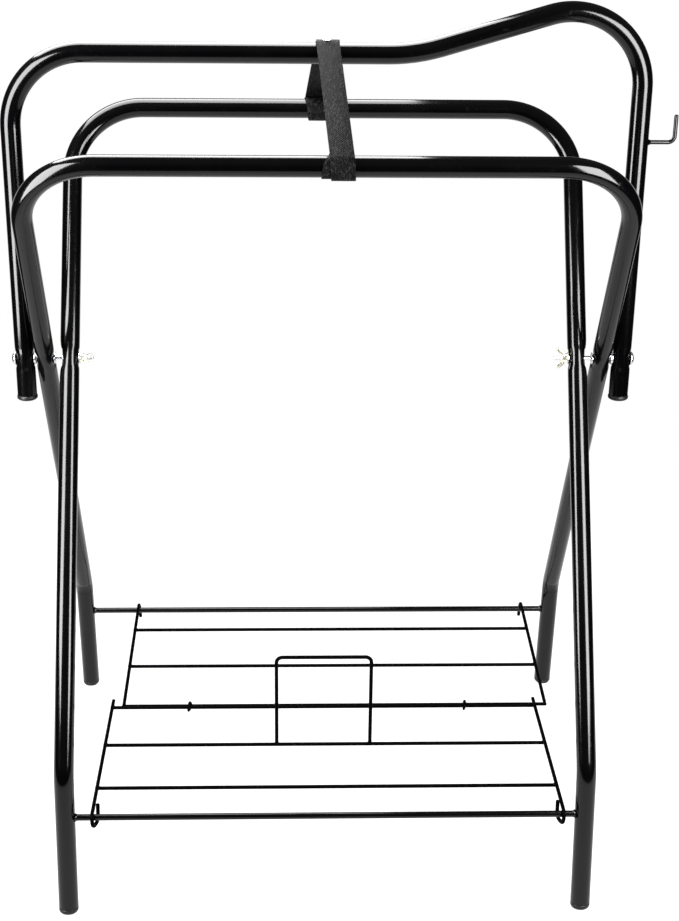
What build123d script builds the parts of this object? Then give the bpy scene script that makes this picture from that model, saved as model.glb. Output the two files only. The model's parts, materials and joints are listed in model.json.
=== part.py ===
from build123d import *
from math import asin, atan2, cos, degrees, radians, sin, tan
import os

# Folding saddle rack. X runs along the ridge, the raised end at +X. Y runs from front to back.
# Z is up from the floor. Millimetres.

# ---- driving dimensions ----
TUBE_R = 11.0
WALL = 1.2
CORNER_R = 80.0
PIVOT_Z = 570.0
LEG_ANGLE = 30.0
BAR_REACH = 294.0
KNEE_REACH = 468.0
KNEE_R = 60.0
FOOT_ANGLE = 7.0
RIDGE_HALF = 339.5
OUTER_HALF = 316.5
INNER_HALF = 289.0

RIDGE_RISE = 342.0
RIDGE_DROP = 44.0
RAMP_X = 94.0
RAMP_ANGLE = 16.4
RAMP_R = 200.0

FLAT_HALF = 10.0
FLAT_LENGTH = 24.0

SHAFT_R = 2.5
RUNNING_R = 2.56
SHAFT_TIP = 262.0
WASHER_T = 1.2
HEAD_R = 7.4
HEAD_H = 3.6
CLEAR = 0.3

ROD_R = 3.5
FRONT_ROD_Z = 115.5
REAR_ROD_Z = 121.0

WIRE_R = 2.0
WELD_BITE = 0.1
SHELF_HALF = 262.0
FRONT_SHELF_X = 3.0
REAR_SHELF_X = 16.7
FRONT_CENTRE_Y = 2.0
REAR_CENTRE_Y = 6.4
CENTRE_Z = 110.0
REAR_CENTRE_DROP = 0.6
FRONT_WIRE_YS = (-183.3, -88.5)
REAR_WIRE_YS = (96.4, 184.9)
WIRE_OVERHANG = 3.0
SIDE_WIRE_TAIL = 12.0
HOOK_WRAP = 7.5
REAR_HOOK_WRAP = 9.0
HOOK_BEND = 6.5
HOOK_OFFSET = 5.2
REAR_HOOK_DROP = 21.0

CLIP_XS = (-164.0, 178.5)
CLIP_WIRE_R = 1.2

LOOP_HALF = 55.6
LOOP_TOP = 231.0
LOOP_R = 7.0

BRIDLE_Z = 819.0
BRIDLE_WIRE_R = 2.3
BRIDLE_REACH = 379.0
BRIDLE_TIP = 849.0

STRAP_WIDTH = 25.0
STRAP_T = 1.6
STRAP_FRONT_X = 6.0
STRAP_REAR_X = -5.0
STRAP_WRAP = 265.0
STRAP_JOIN = 25.0
RIVET_R = 2.0
RIVET_HEAD_R = 4.6
RIVET_HEAD_H = 1.6

FOOT_CAP_T = 6.0
CAP_STEM = 16.0
CAP_GAP = 0.1

# The bridle hook stands out at +X, so the model is shifted to put its box's centre on the origin.
BOX_LEFT = -(RIDGE_HALF + FLAT_HALF + WASHER_T + HEAD_H)
BOX_RIGHT = BRIDLE_REACH + BRIDLE_WIRE_R
SHIFT_X = -(BOX_LEFT + BOX_RIGHT) / 2

SIDES = (-1, 1)
BORE_R = TUBE_R - WALL


def save(name, *solids):
    """Write one node, shifted so that the model's box is centred on the origin."""
    node = Compound(children=[Pos(SHIFT_X, 0, 0) * solid for solid in solids])
    export_step(node, f"parts/{name}.step")


def bar(radius, points, radii=None):
    """A round bar or wire along straight runs joined by tangent arcs."""
    if radii is None:
        path = Wire([Line(points[0], points[1]).edge()])
    else:
        path = FilletPolyline(*points, radius=radii).wire()
    section = Plane(origin=path @ 0, z_dir=path % 0) * Circle(radius)
    return sweep(section, path=path)


def along_x(radius, start, end, y, z):
    """A cylinder along X between two x positions."""
    length = end - start
    return Pos((start + end) / 2, y, z) * Rot(0, 90, 0) * Cylinder(radius, length)


def dome_cap(radius, height):
    """A shallow dome standing on the XY plane."""
    ball_r = (radius ** 2 + height ** 2) / (2 * height)
    latitude = degrees(asin((ball_r - height) / ball_r))
    return Pos(0, 0, height - ball_r) * Sphere(ball_r, arc_size1=latitude, arc_size2=90, align=None)


def side_blocks(x, tilt, half_width):
    """Blocks either side of a leg's pivot zone, beyond half_width from its middle plane."""
    thick = 6.0
    blocks = []
    for side in SIDES:
        centre = Pos(x + side * (half_width + thick / 2), 0, PIVOT_Z)
        blocks.append(centre * Rot(tilt, 0, 0) * Box(thick, 4 * TUBE_R, FLAT_LENGTH))
    return blocks


def frame_tube(points, radii, half_width, tilt):
    """A bent hollow tube with both legs pressed flat and drilled where the pivot bolts pass."""
    outer = bar(TUBE_R, points, radii)
    bore = bar(BORE_R, points, radii)
    for side in SIDES:
        x = side * half_width
        for block in side_blocks(x, tilt, FLAT_HALF):
            outer -= block
        for block in side_blocks(x, tilt, FLAT_HALF - WALL):
            bore -= block
    tube = outer - bore
    for side in SIDES:
        x = side * half_width
        tube -= along_x(RUNNING_R, x - 15, x + 15, 0, PIVOT_Z)
    return tube, outer


def knee_point(side_y):
    """The knee of a leg whose foot is on the side_y side."""
    return side_y * KNEE_REACH * sin(radians(LEG_ANGLE)), PIVOT_Z - KNEE_REACH * cos(radians(LEG_ANGLE))


def foot_y(z):
    """Distance from the middle plane to a foot's centreline at height z."""
    knee_y, knee_z = knee_point(1)
    return knee_y + (knee_z - z) * tan(radians(FOOT_ANGLE))


def leg_frame(half_width, foot_side):
    """One leg frame: feet on the foot_side, top bar on the other side of the ridge."""
    end_z = FOOT_CAP_T * cos(radians(FOOT_ANGLE))
    knee_y, knee_z = knee_point(foot_side)
    bar_y = -foot_side * BAR_REACH * sin(radians(LEG_ANGLE))
    bar_z = PIVOT_Z + BAR_REACH * cos(radians(LEG_ANGLE))
    left = [
        (-half_width, foot_side * foot_y(end_z), end_z),
        (-half_width, knee_y, knee_z),
        (-half_width, bar_y, bar_z),
    ]
    right = [(-x, y, z) for x, y, z in reversed(left)]
    radii = [KNEE_R, CORNER_R, CORNER_R, KNEE_R]
    return frame_tube(left + right, radii, half_width, foot_side * LEG_ANGLE)


# ---- ridge frame ----
ridge_z = PIVOT_Z + RIDGE_RISE
ridge_foot_z = PIVOT_Z - RIDGE_DROP
raised_z = ridge_z + (RIDGE_HALF - RAMP_X) * tan(radians(RAMP_ANGLE))
ridge_points = [
    (-RIDGE_HALF, 0, ridge_foot_z),
    (-RIDGE_HALF, 0, ridge_z),
    (RAMP_X, 0, ridge_z),
    (RIDGE_HALF, 0, raised_z),
    (RIDGE_HALF, 0, ridge_foot_z),
]
ridge_tube, ridge_solid = frame_tube(ridge_points, [CORNER_R, RAMP_R, CORNER_R], RIDGE_HALF, 0)
rivet_hole = Pos(0, 0, ridge_z + TUBE_R) * Cylinder(RIVET_R, 8)
ridge_tube -= rivet_hole
save("ridge_tube", ridge_tube)


def ridge_cap(x):
    """A plastic plug: a stem inside the tube, a lip ring against its end and a low dome."""
    lip_t = 2.6
    stem = Pos(x, 0, ridge_foot_z + CAP_STEM / 2) * Cylinder(BORE_R - CAP_GAP, CAP_STEM)
    lip = Pos(x, 0, ridge_foot_z - lip_t / 2) * Cylinder(TUBE_R + 1.0, lip_t)
    lip = fillet(lip.edges().filter_by(GeomType.CIRCLE), 0.8)
    dome = Pos(x, 0, ridge_foot_z - lip_t - 1.2) * Cylinder(TUBE_R - 1.2, 2.4)
    dome = fillet(dome.edges().group_by(Axis.Z)[0], 2.0)
    return stem + lip + dome


save("ridge_end_caps", *[ridge_cap(side * RIDGE_HALF) for side in SIDES])

bridle_points = [
    (RIDGE_HALF, 0, BRIDLE_Z),
    (BRIDLE_REACH, 0, BRIDLE_Z),
    (BRIDLE_REACH, 0, BRIDLE_TIP),
]
bridle_wire = bar(BRIDLE_WIRE_R, bridle_points, [7.0])
bridle_hook = bridle_wire - ridge_solid
save("bridle_hook", bridle_hook)

# ---- leg frames ----
outer_tube, outer_solid = leg_frame(OUTER_HALF, 1)
inner_tube, inner_solid = leg_frame(INNER_HALF, -1)
save("outer_leg_tube", outer_tube)
save("inner_leg_tube", inner_tube)

rear_rod_y = foot_y(REAR_ROD_Z)
front_rod_y = -foot_y(FRONT_ROD_Z)
rear_rod = along_x(ROD_R, -OUTER_HALF, OUTER_HALF, rear_rod_y, REAR_ROD_Z) - outer_solid
front_rod = along_x(ROD_R, -INNER_HALF, INNER_HALF, front_rod_y, FRONT_ROD_Z) - inner_solid
save("rear_rod", rear_rod)
save("front_rod", front_rod)


def foot_cap(x, foot_side):
    """A plastic foot: a stem inside the tube and a rounded head cut level with the floor."""
    end_z = FOOT_CAP_T * cos(radians(FOOT_ANGLE))
    place = Pos(x, foot_side * foot_y(end_z), end_z) * Rot(foot_side * FOOT_ANGLE, 0, 0)
    stem = place * Pos(0, 0, CAP_STEM / 2) * Cylinder(BORE_R - CAP_GAP, CAP_STEM)
    head = place * Pos(0, 0, -FOOT_CAP_T) * Cylinder(TUBE_R, 2 * FOOT_CAP_T)
    head &= Pos(x, foot_side * foot_y(0), 20) * Box(60, 60, 40)
    head = fillet(head.faces().sort_by(Axis.Z)[0].edges(), 2.4)
    return stem + head


save("rear_foot_caps", *[foot_cap(side * OUTER_HALF, 1) for side in SIDES])
save("front_foot_caps", *[foot_cap(side * INNER_HALF, -1) for side in SIDES])


# ---- pivot hardware ----
def washer(side, inner_x, thickness, radius):
    """A flat washer on the pivot bolt, its inner face at inner_x from the middle."""
    ends = sorted((side * inner_x, side * (inner_x + thickness)))
    ring = along_x(radius, *ends, 0, PIVOT_Z)
    return ring - along_x(RUNNING_R, ends[0] - 1, ends[1] + 1, 0, PIVOT_Z)


def pivot_bolt(side):
    """A dome-headed bolt through all three tubes of one side."""
    face = RIDGE_HALF + FLAT_HALF + WASHER_T
    ends = sorted((side * SHAFT_TIP, side * face))
    shaft = along_x(SHAFT_R, *ends, 0, PIVOT_Z)
    dome = Pos(side * face, 0, PIVOT_Z) * Rot(0, 90 * side, 0) * dome_cap(HEAD_R, HEAD_H)
    return shaft + dome


spacer_x = OUTER_HALF + FLAT_HALF + CLEAR
spacer_t = RIDGE_HALF - OUTER_HALF - 2 * FLAT_HALF - 2 * CLEAR
leg_washer_x = OUTER_HALF - FLAT_HALF - CLEAR - WASHER_T
nut_washer_x = INNER_HALF - FLAT_HALF - CLEAR - WASHER_T
save("pivot_bolts", *[pivot_bolt(side) for side in SIDES])
save("head_washers", *[washer(side, RIDGE_HALF + FLAT_HALF, WASHER_T, 8.2) for side in SIDES])
save("spacer_washers", *[washer(side, spacer_x, spacer_t, 7.0) for side in SIDES])
save("leg_washers", *[washer(side, leg_washer_x, WASHER_T, 6.6) for side in SIDES])
save("nut_washers", *[washer(side, nut_washer_x, WASHER_T, 6.6) for side in SIDES])


def wing_nut(side, turn):
    """A wing nut against the inner washer, its wings leaning away from the leg."""
    length = 7.0
    hub = Cone(5.4, 4.0, length, align=(Align.CENTER, Align.CENTER, Align.MIN))
    wing_outline = [(3.0, 2.0), (3.0, length), (9.5, 13.0), (12.5, 12.0), (12.5, 9.0), (7.5, 2.6)]
    blank = Plane.XZ * Polygon(*wing_outline, align=None)
    wing = extrude(blank, amount=1.1, both=True)
    wing = fillet(wing.edges().filter_by(Axis.Y).group_by(Axis.X)[-1], 1.4)
    nut = hub + wing + Rot(0, 0, 180) * wing
    nut -= Cylinder(RUNNING_R, 40)
    place = Pos(side * (nut_washer_x - 0.1), 0, PIVOT_Z)
    return place * Rot(turn, 0, 0) * Rot(0, -90 * side, 0) * nut


save("wing_nut_left", wing_nut(-1, 90))
save("wing_nut_right", wing_nut(1, 0))

# ---- folding shelf ----
lift = ROD_R + WIRE_R + CLEAR
stack = 2 * WIRE_R - WELD_BITE
front_hook_z = FRONT_ROD_Z + lift
rear_hook_z = REAR_ROD_Z + lift
rear_centre_z = CENTRE_Z - REAR_CENTRE_DROP


def front_plane_z(y):
    """Height of the front half's side wires above a given y."""
    slope = (front_hook_z - CENTRE_Z - stack) / (front_rod_y - FRONT_CENTRE_Y)
    return CENTRE_Z + stack + slope * (y - FRONT_CENTRE_Y)


def rear_plane_z(y):
    """Height of the rear half's side wires above a given y."""
    slope = (rear_hook_z - rear_centre_z - stack) / (rear_rod_y - REAR_CENTRE_Y)
    return rear_centre_z + stack + slope * (y - REAR_CENTRE_Y)


def front_side_wire(side):
    """A side wire that runs over the front rod and curls right round it."""
    x = FRONT_SHELF_X + side * SHELF_HALF
    inner_x = x - side * HOOK_OFFSET
    tail_y = FRONT_CENTRE_Y + SIDE_WIRE_TAIL
    nose_y = front_rod_y - HOOK_WRAP
    back_y = front_rod_y + HOOK_WRAP
    low_z = front_hook_z - 2 * HOOK_WRAP
    points = [
        (x, tail_y, front_plane_z(tail_y)),
        (x, nose_y, front_plane_z(nose_y)),
        (x - side * 0.8, nose_y, low_z),
        (inner_x, back_y, low_z),
        (inner_x, back_y + 3.0, front_hook_z + 5.0),
    ]
    return bar(WIRE_R, points, [HOOK_BEND] * 3)


def rear_side_wire(side):
    """A side wire that runs over the rear rod and turns down behind it."""
    x = REAR_SHELF_X + side * SHELF_HALF
    start_y = REAR_CENTRE_Y - WIRE_R
    end_y = rear_rod_y + REAR_HOOK_WRAP
    points = [
        (x, start_y, rear_plane_z(start_y)),
        (x, end_y, rear_plane_z(end_y)),
        (x - side * 1.5, end_y, rear_hook_z - REAR_HOOK_DROP),
    ]
    return bar(WIRE_R, points, [HOOK_BEND])


def cross_wire(centre_x, y, z):
    """A straight wire welded under the side wires of one half."""
    reach = SHELF_HALF + WIRE_OVERHANG
    return along_x(WIRE_R, centre_x - reach, centre_x + reach, y, z)


save("front_side_wire_left", front_side_wire(-1))
save("front_side_wire_right", front_side_wire(1))
save("rear_side_wire_left", rear_side_wire(-1))
save("rear_side_wire_right", rear_side_wire(1))
save("front_cross_wires", *[cross_wire(FRONT_SHELF_X, y, front_plane_z(y) - stack) for y in FRONT_WIRE_YS])
save("rear_cross_wires", *[cross_wire(REAR_SHELF_X, y, rear_plane_z(y) - stack) for y in REAR_WIRE_YS])
save("front_centre_wire", cross_wire(FRONT_SHELF_X, FRONT_CENTRE_Y, CENTRE_Z))
save("rear_centre_wire", cross_wire(REAR_SHELF_X, REAR_CENTRE_Y, rear_centre_z))

loop_y = FRONT_WIRE_YS[1]
loop_foot_z = front_plane_z(loop_y) - stack + WIRE_R - WELD_BITE
loop_points = [
    (-LOOP_HALF, loop_y, loop_foot_z),
    (-LOOP_HALF, loop_y, LOOP_TOP),
    (LOOP_HALF, loop_y, LOOP_TOP),
    (LOOP_HALF, loop_y, loop_foot_z),
]
save("lift_loop", bar(WIRE_R, loop_points, [LOOP_R, LOOP_R]))


def hinge_clip(x):
    """A wire ring round both centre wires."""
    ring_r = WIRE_R + CLEAR + CLIP_WIRE_R
    centre_y = (FRONT_CENTRE_Y + REAR_CENTRE_Y) / 2
    centre_z = (CENTRE_Z + rear_centre_z) / 2
    span = REAR_CENTRE_Y - FRONT_CENTRE_Y
    track = Plane(origin=(x, centre_y, centre_z), x_dir=(0, 1, 0), z_dir=(1, 0, 0))
    oval = track * SlotCenterToCenter(span, 2 * ring_r)
    path = oval.face().outer_wire()
    section = Plane(origin=path @ 0, z_dir=path % 0) * Circle(CLIP_WIRE_R)
    return sweep(section, path=path)


save("hinge_clips", *[hinge_clip(x) for x in CLIP_XS])

# ---- strap ----
bar_y = BAR_REACH * sin(radians(LEG_ANGLE))
bar_z = PIVOT_Z + BAR_REACH * cos(radians(LEG_ANGLE))
wrap_r = TUBE_R + CLEAR + STRAP_T / 2
lean = degrees(atan2(ridge_z - bar_z, bar_y))


def strap_band(side, centre_x, start_angle):
    """Webbing from the ridge bar to one top bar and most of the way round it.

    Angles round a bar are measured from straight up towards the band's own side.
    """
    ridge_arc = CenterArc((0, ridge_z), wrap_r, 90 - side * start_angle, -side * (lean - start_angle))
    bar_arc = CenterArc((side * bar_y, bar_z), wrap_r, 90 - side * lean, -side * STRAP_WRAP)
    run = Line(ridge_arc @ 1, bar_arc @ 0)
    path = Plane.YZ * Wire([ridge_arc.edge(), run.edge(), bar_arc.edge()])
    section = Plane(origin=path @ 0, x_dir=(1, 0, 0), z_dir=path % 0) * Rectangle(STRAP_WIDTH, STRAP_T)
    return Pos(centre_x, 0, 0) * sweep(section, path=path)


strap_front = strap_band(-1, STRAP_FRONT_X, -STRAP_JOIN) - rivet_hole
save("strap_front", strap_front)
save("strap_rear", strap_band(1, STRAP_REAR_X, STRAP_JOIN))

rivet_top_z = ridge_z + TUBE_R + CLEAR + STRAP_T
rivet_shank = Pos(0, 0, rivet_top_z - 1.5) * Cylinder(RIVET_R - 0.05, 4.0)
save("strap_rivet", rivet_shank + Pos(0, 0, rivet_top_z) * dome_cap(RIVET_HEAD_R, RIVET_HEAD_H))
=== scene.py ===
from math import asin, atan2, ceil, cos, degrees, hypot, pi, radians, sin, tan
import json

import bpy
from mathutils import Euler, Matrix, Vector


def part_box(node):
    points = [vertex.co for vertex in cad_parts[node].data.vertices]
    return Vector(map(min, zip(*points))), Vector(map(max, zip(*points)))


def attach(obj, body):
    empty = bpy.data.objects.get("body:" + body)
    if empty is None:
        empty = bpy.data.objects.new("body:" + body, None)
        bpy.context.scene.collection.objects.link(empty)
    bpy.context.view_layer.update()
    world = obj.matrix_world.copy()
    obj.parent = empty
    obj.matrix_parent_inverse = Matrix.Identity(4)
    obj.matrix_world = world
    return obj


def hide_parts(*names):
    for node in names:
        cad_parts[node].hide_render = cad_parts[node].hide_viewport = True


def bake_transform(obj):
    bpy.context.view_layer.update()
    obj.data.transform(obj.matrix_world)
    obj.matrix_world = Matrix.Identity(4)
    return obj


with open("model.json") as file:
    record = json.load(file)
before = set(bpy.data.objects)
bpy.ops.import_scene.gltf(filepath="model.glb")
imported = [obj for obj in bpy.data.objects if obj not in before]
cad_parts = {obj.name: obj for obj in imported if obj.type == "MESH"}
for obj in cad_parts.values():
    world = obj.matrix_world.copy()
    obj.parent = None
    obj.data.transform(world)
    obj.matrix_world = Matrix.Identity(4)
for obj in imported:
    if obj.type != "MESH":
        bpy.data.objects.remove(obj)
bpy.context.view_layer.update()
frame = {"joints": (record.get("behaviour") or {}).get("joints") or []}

MM = 0.001
UP = Vector((0, 0, 1))
joints = {joint["name"]: joint for joint in frame["joints"]}
pivot = Vector(joints["outer_legs_fold"]["pos_m"])
MID_X = pivot.x
SIDES = (-1, 1)


def at(x, y, z):
    """A point in millimetres from the ridge's middle plane, as metres in the frame."""
    return Vector((x * MM + MID_X, y * MM, z * MM))


def size_of(node):
    """The size of a CAD node's box."""
    low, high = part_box(node)
    return Vector(high) - Vector(low)


# ---- dimensions, in millimetres ----
TUBE_R = 11.0
ridge_low = Vector(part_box("ridge_tube")[0]) / MM
RIDGE_HALF = size_of("ridge_tube").x / MM / 2 - TUBE_R
OUTER_HALF = size_of("outer_leg_tube").x / MM / 2 - TUBE_R
INNER_HALF = size_of("inner_leg_tube").x / MM / 2 - TUBE_R
PIVOT_Z = pivot.z / MM
RIDGE_RISE = 342.0
RIDGE_Z = PIVOT_Z + RIDGE_RISE
RIDGE_FOOT_Z = ridge_low.z
LEG_ANGLE = radians(30)
BAR_REACH = 294.0
KNEE_REACH = 468.0
FOOT_ANGLE = radians(7)
FOOT_CAP_T = 6.0
CORNER_R = 80.0
KNEE_R = 60.0
RAMP_X = 94.0
RAMP_ANGLE = radians(16.4)
RAMP_R = 200.0
WIRE_R = 2.0
ROD_R = 3.5
# The coat that rods and wires carry over their CAD radius.
COAT_T = 0.2


# ---- making pieces ----
def start_edit(piece):
    """Goes into edit mode on one piece with everything in it selected."""
    bpy.ops.object.select_all(action="DESELECT")
    piece.select_set(True)
    bpy.context.view_layer.objects.active = piece
    bpy.ops.object.mode_set(mode="EDIT")
    bpy.ops.mesh.select_mode(type="VERT")
    bpy.ops.mesh.select_all(action="SELECT")


def end_edit():
    bpy.ops.object.mode_set(mode="OBJECT")


def bake_place(piece):
    """Puts the object at the origin with its place in its mesh."""
    bpy.ops.object.select_all(action="DESELECT")
    piece.select_set(True)
    bpy.context.view_layer.objects.active = piece
    bpy.ops.object.transform_apply(location=True, rotation=True, scale=True)


def pick(piece, wanted):
    """Selects the vertices whose position passes the test. Leaves the piece in edit mode."""
    bpy.ops.mesh.select_all(action="DESELECT")
    bpy.ops.object.mode_set(mode="OBJECT")
    for vertex in piece.data.vertices:
        vertex.select = wanted(vertex.co)
    bpy.ops.object.mode_set(mode="EDIT")


def outward(piece):
    """Merges doubles, turns every face outwards and smooths all but the sharp edges."""
    start_edit(piece)
    bpy.ops.mesh.remove_doubles(threshold=1e-6)
    bpy.ops.mesh.normals_make_consistent(inside=False)
    end_edit()
    smooth(piece)


def smooth(piece, angle=35):
    bpy.ops.object.select_all(action="DESELECT")
    piece.select_set(True)
    bpy.context.view_layer.objects.active = piece
    bpy.ops.object.shade_smooth_by_angle(angle=radians(angle))


def join(name, pieces):
    """Joins pieces into the first one."""
    bpy.ops.object.select_all(action="DESELECT")
    for piece in pieces:
        piece.select_set(True)
    bpy.context.view_layer.objects.active = pieces[0]
    if len(pieces) > 1:
        bpy.ops.object.join()
    pieces[0].name = name
    return pieces[0]


def grow(step):
    """Extrudes what is selected and moves it."""
    bpy.ops.mesh.extrude_region_move(TRANSFORM_OT_translate={"value": step})


def resize(factors, centre):
    if isinstance(factors, float):
        factors = (factors, factors, factors)
    bpy.ops.transform.resize(value=factors, center_override=centre)


def follow(points, bends, arc_step, max_run=None):
    """Takes the selected section along straight runs joined by spun bends."""
    heading = (points[1] - points[0]).normalized()
    place = points[0]
    for index in range(len(points) - 1):
        corner = points[index + 1]
        setback = 0.0
        bend = bends[index] if index < len(bends) else 0.0
        if bend:
            onward = (points[index + 2] - corner).normalized()
            turn = heading.angle(onward)
            setback = bend * tan(turn / 2)
        run = corner - heading * setback - place
        pieces = ceil(run.length / max_run) if max_run else 1
        for _ in range(pieces):
            grow(run / pieces)
        place = place + run
        if bend:
            axis = heading.cross(onward).normalized()
            centre = place + axis.cross(heading) * bend
            steps = max(3, ceil(degrees(turn) / arc_step))
            bpy.ops.mesh.spin(steps=steps, angle=-turn, center=centre, axis=axis)
            place = corner + onward * setback
            heading = onward
    return heading


def pipe(name, route, bends, radius, sides=20, arc_step=9.0, rounded=0.35):
    """A round bar or wire along a route in millimetres, with slightly rounded ends."""
    points = [at(*point) for point in route]
    bends = [bend * MM for bend in bends]
    radius = radius * MM
    heading = (points[1] - points[0]).normalized()
    turned = heading.to_track_quat("Z", "Y").to_euler()
    bpy.ops.object.select_all(action="DESELECT")
    bpy.ops.mesh.primitive_circle_add(vertices=sides, radius=radius, location=points[0], rotation=turned)
    piece = bpy.context.object
    piece.name = name
    bake_place(piece)
    start_edit(piece)
    lip = rounded * radius
    if rounded:
        resize(0.45, points[0])
        for share, size in ((0.25, 0.8 / 0.45), (0.75, 1.0 / 0.8)):
            grow(heading * lip * share)
            points[0] = points[0] + heading * lip * share
            resize(size, points[0])
    last_run = (points[-1] - points[-2]).normalized()
    end = points[-1] - last_run * lip
    heading = follow(points[:-1] + [end], bends, arc_step)
    if rounded:
        for share, size in ((0.75, 0.8), (0.25, 0.45 / 0.8)):
            grow(heading * lip * share)
            end = end + heading * lip * share
            resize(size, end)
    bpy.ops.mesh.select_all(action="SELECT")
    bpy.ops.mesh.fill_holes(sides=0)
    end_edit()
    outward(piece)
    return piece


# ---- materials ----
def group(name, inputs, outputs):
    """An empty node group with float inputs and outputs."""
    tree = bpy.data.node_groups.new(name, "ShaderNodeTree")
    for label, value in inputs:
        socket = tree.interface.new_socket(label, in_out="INPUT", socket_type="NodeSocketFloat")
        socket.default_value = value
    for label, kind in outputs:
        tree.interface.new_socket(label, in_out="OUTPUT", socket_type=kind)
    return tree


def node(tree, kind, **settings):
    made = tree.nodes.new(kind)
    for key, value in settings.items():
        setattr(made, key, value)
    return made


def wire_up(tree, *links):
    for start, end in links:
        tree.links.new(start, end)


def noise(tree, vector, scale, detail=2.0, rough=0.5):
    made = node(tree, "ShaderNodeTexNoise")
    made.inputs["Scale"].default_value = scale
    made.inputs["Detail"].default_value = detail
    made.inputs["Roughness"].default_value = rough
    wire_up(tree, (vector, made.inputs["Vector"]))
    return made.outputs["Fac"]


def math(tree, operation, first, second):
    made = node(tree, "ShaderNodeMath", operation=operation)
    for socket, value in zip(made.inputs, (first, second)):
        if isinstance(value, (int, float)):
            socket.default_value = value
        else:
            wire_up(tree, (value, socket))
    return made.outputs[0]


def remap(tree, value, low, high, to_low=0.0, to_high=1.0):
    made = node(tree, "ShaderNodeMapRange", clamp=True)
    made.inputs["From Min"].default_value = low
    made.inputs["From Max"].default_value = high
    made.inputs["To Min"].default_value = to_low
    made.inputs["To Max"].default_value = to_high
    wire_up(tree, (value, made.inputs["Value"]))
    return made.outputs["Result"]


def make_coat_skin():
    """Powder coat's orange peel, with faint dust and fine scuffs."""
    tree = group(
        "coat_skin",
        [("Peel Scale", 900.0), ("Scuff", 0.25), ("Dust", 0.2), ("Base Roughness", 0.22)],
        [("Height", "NodeSocketFloat"), ("Roughness", "NodeSocketFloat"), ("Dust Mask", "NodeSocketFloat")],
    )
    given = node(tree, "NodeGroupInput").outputs
    out = node(tree, "NodeGroupOutput").inputs
    place = node(tree, "ShaderNodeTexCoord").outputs["Object"]
    peel = node(tree, "ShaderNodeTexNoise")
    peel.inputs["Detail"].default_value = 1.5
    wire_up(tree, (place, peel.inputs["Vector"]), (given["Peel Scale"], peel.inputs["Scale"]))
    broad = noise(tree, place, 14.0, 3.0)
    scuffs = remap(tree, noise(tree, place, 160.0, 5.0, 0.65), 0.58, 0.72)
    dust = math(tree, "MULTIPLY", remap(tree, broad, 0.45, 0.75), given["Dust"])
    rough = math(tree, "MULTIPLY", scuffs, given["Scuff"])
    rough = math(tree, "ADD", rough, given["Base Roughness"])
    rough = math(tree, "ADD", rough, math(tree, "MULTIPLY", dust, 0.25))
    wire_up(
        tree,
        (peel.outputs["Fac"], out["Height"]),
        (rough, out["Roughness"]),
        (dust, out["Dust Mask"]),
    )
    return tree


def make_cast_marks():
    """Small uneven patches for plated and moulded parts."""
    tree = group(
        "cast_marks",
        [("Scale", 500.0), ("Spread", 0.15), ("Base Roughness", 0.35)],
        [("Height", "NodeSocketFloat"), ("Roughness", "NodeSocketFloat"), ("Patch", "NodeSocketFloat")],
    )
    given = node(tree, "NodeGroupInput").outputs
    out = node(tree, "NodeGroupOutput").inputs
    place = node(tree, "ShaderNodeTexCoord").outputs["Object"]
    grain = node(tree, "ShaderNodeTexNoise")
    grain.inputs["Detail"].default_value = 4.0
    wire_up(tree, (place, grain.inputs["Vector"]), (given["Scale"], grain.inputs["Scale"]))
    patch = noise(tree, place, 120.0, 3.0)
    rough = math(tree, "MULTIPLY", math(tree, "SUBTRACT", grain.outputs["Fac"], 0.5), given["Spread"])
    rough = math(tree, "ADD", rough, given["Base Roughness"])
    wire_up(tree, (grain.outputs["Fac"], out["Height"]), (rough, out["Roughness"]), (patch, out["Patch"]))
    return tree


coat_skin = make_coat_skin()
cast_marks = make_cast_marks()


def shader(name):
    """A new material's tree and its Principled shader."""
    finish = bpy.data.materials.new(name)
    finish.use_nodes = True
    return finish, finish.node_tree, finish.node_tree.nodes["Principled BSDF"]


def bump(tree, surface, height, distance, strength=1.0):
    made = node(tree, "ShaderNodeBump")
    made.inputs["Strength"].default_value = strength
    made.inputs["Distance"].default_value = distance
    wire_up(tree, (height, made.inputs["Height"]), (made.outputs["Normal"], surface.inputs["Normal"]))


def mixed(tree, mask, low, high):
    """A colour between two, chosen by a mask."""
    made = node(tree, "ShaderNodeMix", data_type="RGBA")
    made.inputs[6].default_value = (*low, 1)
    made.inputs[7].default_value = (*high, 1)
    wire_up(tree, (mask, made.inputs[0]))
    return made.outputs[2]


def powder_coat(name, peel_scale, rough, peel_depth, index):
    finish, tree, surface = shader(name)
    skin = node(tree, "ShaderNodeGroup", node_tree=coat_skin)
    skin.inputs["Peel Scale"].default_value = peel_scale
    skin.inputs["Base Roughness"].default_value = rough
    skin.inputs["Scuff"].default_value = 0.10
    skin.inputs["Dust"].default_value = 0.12
    surface.inputs["IOR"].default_value = index
    colour = mixed(tree, skin.outputs["Dust Mask"], (0.0004, 0.0004, 0.0005), (0.0035, 0.0035, 0.0035))
    wire_up(tree, (colour, surface.inputs["Base Color"]))
    wire_up(tree, (skin.outputs["Roughness"], surface.inputs["Roughness"]))
    bump(tree, surface, skin.outputs["Height"], peel_depth)
    return finish


def moulded(name, colour, bright, rough):
    finish, tree, surface = shader(name)
    surface.inputs["Specular IOR Level"].default_value = 0.25
    marks = node(tree, "ShaderNodeGroup", node_tree=cast_marks)
    marks.inputs["Scale"].default_value = 1400.0
    marks.inputs["Spread"].default_value = 0.2
    marks.inputs["Base Roughness"].default_value = rough
    wire_up(
        tree,
        (mixed(tree, marks.outputs["Patch"], colour, bright), surface.inputs["Base Color"]),
        (marks.outputs["Roughness"], surface.inputs["Roughness"]),
    )
    bump(tree, surface, marks.outputs["Height"], 0.00006)
    return finish


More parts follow.
